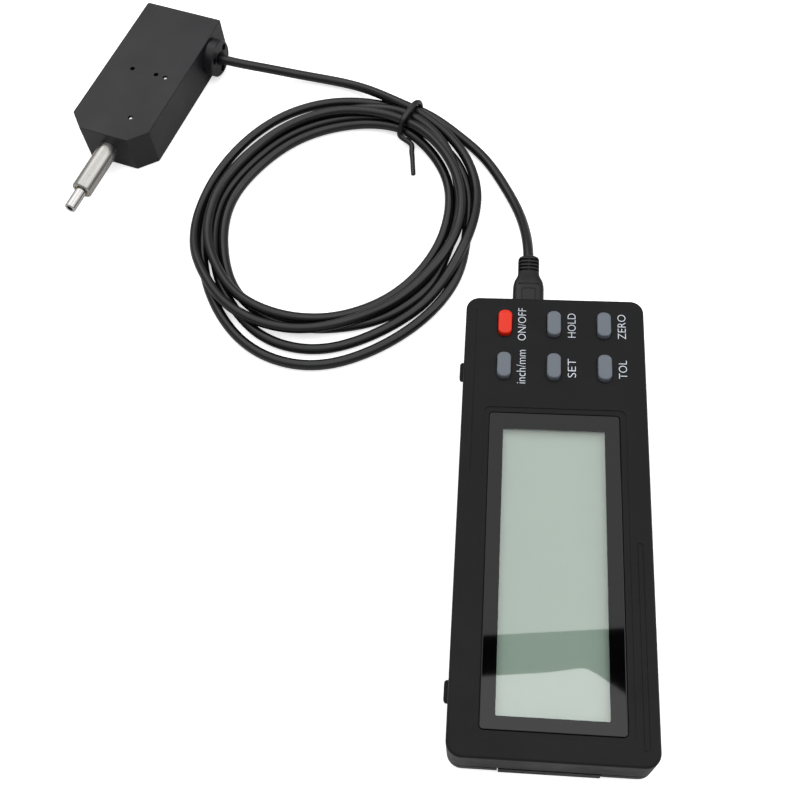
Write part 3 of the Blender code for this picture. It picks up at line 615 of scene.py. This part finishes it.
# ---------------------------------------------------------------- window
WX0, WX1, WY0, WY1 = -21.3, 21.42, -69.8, 32.8
o = rounded(WX0 + 0.3, WX1 - 0.3, WY0 + 0.3, WY1 - 0.3, 1.15, 8)
oi = rounded(-16.48, 16.31, -65.55, 26.61, 0.5, 8)
ring = [(o, 18.74), (o, 19.74), (inset(o, 0.04), 19.84), (inset(o, 0.14), 19.89), (inset(o, 0.24), 19.9), (inset(o, 0.36), 19.9), (inset(oi, -0.06), 19.9), (oi, 19.9), (oi, 19.86), (inset(o, 0.6), 19.86), (inset(o, 0.6), 18.74)]
bm = bmesh.new()
rr = [[bm.verts.new((x * MM, yy * MM, z * MM)) for x, yy in ol] for ol, z in ring]
for p, q in zip(rr, rr[1:] + rr[:1]):
    for i in range(len(p)):
        j = (i + 1) % len(p)
        bm.faces.new((p[i], p[j], q[j], q[i]))
ink = link("window_border", mesh_from(bm, "window_border", 32), "display", INK, ("window",))
oc = inset(o, 0.66)
pane = link("window_pane", mesh_from(prism([(oc, 19.35), (oc, 19.85)]), "window_pane", 20), "display", PANE, ("window",))

# ---------------------------------------------------------------- keys
BX, BY = (-16.85, -0.2, 16.7), (66.9, 50.1)
NAMES = {(0, 0): "on_off", (1, 0): "hold", (2, 0): "zero", (0, 1): "unit", (1, 1): "set", (2, 1): "tolerance"}
TEXTS = {"on_off": ("ON/OFF", 13.0), "hold": ("HOLD", 9.6), "zero": ("ZERO", 9.7), "unit": ("inch/mm", 12.9), "set": ("SET", 7.2), "tolerance": ("TOL", 7.0)}
PRINT = moulded("label_white", (0.66, 0.71, 0.78), 0.5, 1800.0, 0.00001, 0.1)
for (i, j), label in NAMES.items():
    cap = rounded(-2.35, 2.35, -4.75, 4.75, 2.05, 10)
    layers = [(inset(cap, 0.05), 16.6), (cap, 17.2)] + fillet(cap, 21.75, 0.55, 6)[:-1]
    top = inset(cap, 0.55)
    layers += [(inset(top, 0.4), 21.81), (inset(top, 0.9), 21.85), (inset(top, 1.0), 21.85)]
    link("key_cap_" + label, mesh_from(prism(layers), "key_" + label, 50), "key_" + label, KEY_RED if label == "on_off" else KEY_GREY,
         ("button_" + label,), Matrix.Translation((BX[i] * MM, BY[j] * MM, 0)))
    text, length = TEXTS[label]
    fc = bpy.data.curves.new("label_" + label, "FONT")
    fc.body = text
    fc.size = 4.2 * MM
    fc.offset = -0.00006
    fc.extrude = 0.00001
    fc.resolution_u = 4
    fc.align_x, fc.align_y = "CENTER", "CENTER"
    fo = bpy.data.objects.new("label_tmp_" + label, fc)
    scene.collection.objects.link(fo)
    bpy.context.view_layer.update()
    me = bpy.data.meshes.new_from_object(fo.evaluated_get(bpy.context.evaluated_depsgraph_get()))
    bpy.data.objects.remove(fo)
    co = np.array([v.co[:] for v in me.vertices])
    lo, hi = co.min(axis=0), co.max(axis=0)
    sx = length * MM / (hi[0] - lo[0])
    high = 2.72 if text != "inch/mm" else 3.0
    sy = high * MM / (hi[1] - lo[1])
    for v in me.vertices:
        x, yy = (v.co.x - (lo[0] + hi[0]) / 2) * sx, (v.co.y - (lo[1] + hi[1]) / 2) * sy
        v.co = ((BX[i] + 5.78 + (0.25 if label not in ("on_off", "unit") else 0.0)) * MM - yy, BY[j] * MM + x, 0.02001 + v.co.z)
    link("label_" + label, me, "display", PRINT)

# ---------------------------------------------------------------- the casing, panel and head, with fine edges
refined("front_casing", "display", CASE, 0.16, 3)
refined("rear_casing", "display", CASE, 0.16, 2)
refined("battery_door", "battery_cover", CASE, 0.10, 2)
refined("probe_body", "probe_set", ANODISED, 0.3, 3)
refined("base_plate", "probe_set", ANODISED, 0.12, 2)
refined("cable_gland", "probe_set", ANODISED, 0.10, 2)

# The return spring, as a piece of its own.
coil_src = bpy.data.objects["return_spring"]
coil_mesh = coil_src.data.copy()
coil_mesh.transform(coil_src.matrix_world)
coil_mesh.materials.clear()
spring = link("spring_coil", coil_mesh, "probe_set", STEEL, ("return_spring",))
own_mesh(spring)
link("lcd_face", mesh_from(prism([(rounded(-18.7, 18.7, -67.3, 29.3, 0.05, 1), 16.1), (rounded(-18.7, 18.7, -67.3, 29.3, 0.05, 1), 17.42), (rounded(-18.62, 18.62, -67.22, 29.22, 0.05, 1), 17.5)]), "lcd_face", 20),
     "display", LCD, ("lcd_panel",))
AXIS = HEAD_M @ Matrix.Translation((0, 0, 8.55 * MM))
link("stem_fine", lathe([(2.72, -22.6), (3.35, -22.6), (3.62, -22.5), (3.9, -22.3), (4.0, -22.0), (4.0, 9.9), (2.72, 9.9)], 72, 24, "stem_fine", True), "probe_set", STEM_STEEL, ("stem",), AXIS)

FINISH = {
    CASE: ("read_head",),
    LCD: ("lcd_reflector", "scale_strip"),
    STEEL: ("spindle", "guide_rod", "plug_shell", "usb_socket", "battery_contact_1", "battery_contact_2") + tuple("switch_" + n for n in NAMES.values()),
    BRASS: ("front_bush", "rear_bush", "carriage"),
    SCREW: tuple(n for n in NODES if n.startswith(("casing_screw", "plate_screw", "set_screw"))),
    DARK_SCREW: tuple(n for n in NODES if n.startswith("gland_screw")),
    BOARD: ("main_board", "sensor_board"),
    CELL: ("battery_cell_1", "battery_cell_2"),
    LAYERS: ("zebra_strip_1", "zebra_strip_2"),
}
for mat, names in FINISH.items():
    for n in names:
        ob = NODES[n]
        ob.data.materials.clear()
        ob.data.materials.append(mat)

# ---------------------------------------------------------------- table and light
fl = bpy.data.meshes.new("table_top")
s = 3.0
fl.from_pydata([(-s, -s, -0.0002), (s, -s, -0.0002), (s, s, -0.0002), (-s, s, -0.0002)], [], [(0, 1, 2, 3)])
floor_mat = Mat("table_white", (0.93, 0.93, 0.93), 0.7)
floor_mat.b.inputs["Specular IOR Level"].default_value = 0.1
floor_mat.b.inputs["Emission Color"].default_value = (1, 1, 1, 1)
floor_mat.b.inputs["Emission Strength"].default_value = 0.6
floor_mat.roughness(floor_mat.ramp(floor_mat.noise(20.0, 2.0), 0.3, 0.7, 0.68, 0.76))
table_top = link("table_top", fl, None, floor_mat.m)

# a grey card on the table, seen only in reflections, so that the sides of black pieces stay dark
cm = bpy.data.meshes.new("grey_card")
cm.from_pydata([(-s, -s, -0.00015), (s, -s, -0.00015), (s, s, -0.00015), (-s, s, -0.00015)], [], [(0, 1, 2, 3)])
card_mat = Mat("card_grey", (0.62, 0.62, 0.62), 0.9)
card_mat.b.inputs["Specular IOR Level"].default_value = 0.0
card_mat.roughness(card_mat.ramp(card_mat.noise(20.0, 2.0), 0.3, 0.7, 0.85, 0.95))
card = link("grey_card", cm, None, card_mat.m)
for a in ("visible_camera", "visible_diffuse", "visible_shadow", "visible_transmission", "visible_volume_scatter"):
    setattr(card, a, False)

world = bpy.data.worlds.new("studio")
scene.world = world
world.use_nodes = True
world.node_tree.nodes["Background"].inputs["Color"].default_value = (1, 1, 1, 1)
world.node_tree.nodes["Background"].inputs["Strength"].default_value = 0.40


def area(name, loc, look, size, power, size_y=None):
    ld = bpy.data.lights.new(name, "AREA")
    ld.shape = "RECTANGLE"
    ld.size, ld.size_y = size, size_y or size
    ld.energy = power
    lo = bpy.data.objects.new(name, ld)
    scene.collection.objects.link(lo)
    lo.location = loc
    lo.rotation_euler = (Vector(look) - Vector(loc)).to_track_quat("-Z", "Y").to_euler()
    return lo


area("overhead", (-0.1, 0.35, 1.35), (-0.1, 0.3, 0), 2.2, 18.0)
area("overhead_low", (0.1, 0.09, 1.34), (0.1, 0.09, 0), 0.6, 0.7, 0.47)
area("key", (-0.75, 1.05, 1.0), (-0.05, 0.08, 0), 1.0, 2.4)
area("fill", (1.1, 0.2, 0.9), (-0.05, 0.08, 0), 0.9, 4.0)

# a dark strip above, seen only in reflections, as between two soft boxes
CAM = camera.matrix_world.translation
px_edge = ((440.0, 638.2), (480.8, 635.5), (626.3, 627.8), (670.0, 625.5), (670.0, 724.0), (628.2, 695.4), (597.6, 674.4), (589.0, 669.6), (582.2, 668.0), (546.5, 672.5), (479.6, 676.3), (440.0, 678.8))
H = 0.95
pts = []
for x, yv in px_edge:
    ray = camera.matrix_world.to_3x3() @ Vector(((x - 400) / 1083.294, -(yv - 400) / 1083.294, -1.0))
    hit = CAM + ray * ((0.0199 - CAM.z) / ray.z)
    up = Vector((ray.x, ray.y, -ray.z))
    pts.append(hit + up * ((H - hit.z) / up.z))
gm = bpy.data.meshes.new("dark_strip")
gm.from_pydata([tuple(p) for p in pts], [], [tuple(range(len(pts)))])
dm = Mat("strip_black", (0.0, 0.0, 0.0), 1.0)
dm.b.inputs["Specular IOR Level"].default_value = 0.0
strip = link("dark_strip", gm, None, dm.m)
for a in ("visible_camera", "visible_diffuse", "visible_shadow", "visible_transmission", "visible_volume_scatter"):
    setattr(strip, a, False)

scene.view_settings.view_transform = "Standard"
scene.view_settings.look = "None"
scene.view_settings.exposure = 0.0
scene.view_settings.gamma = 1.0
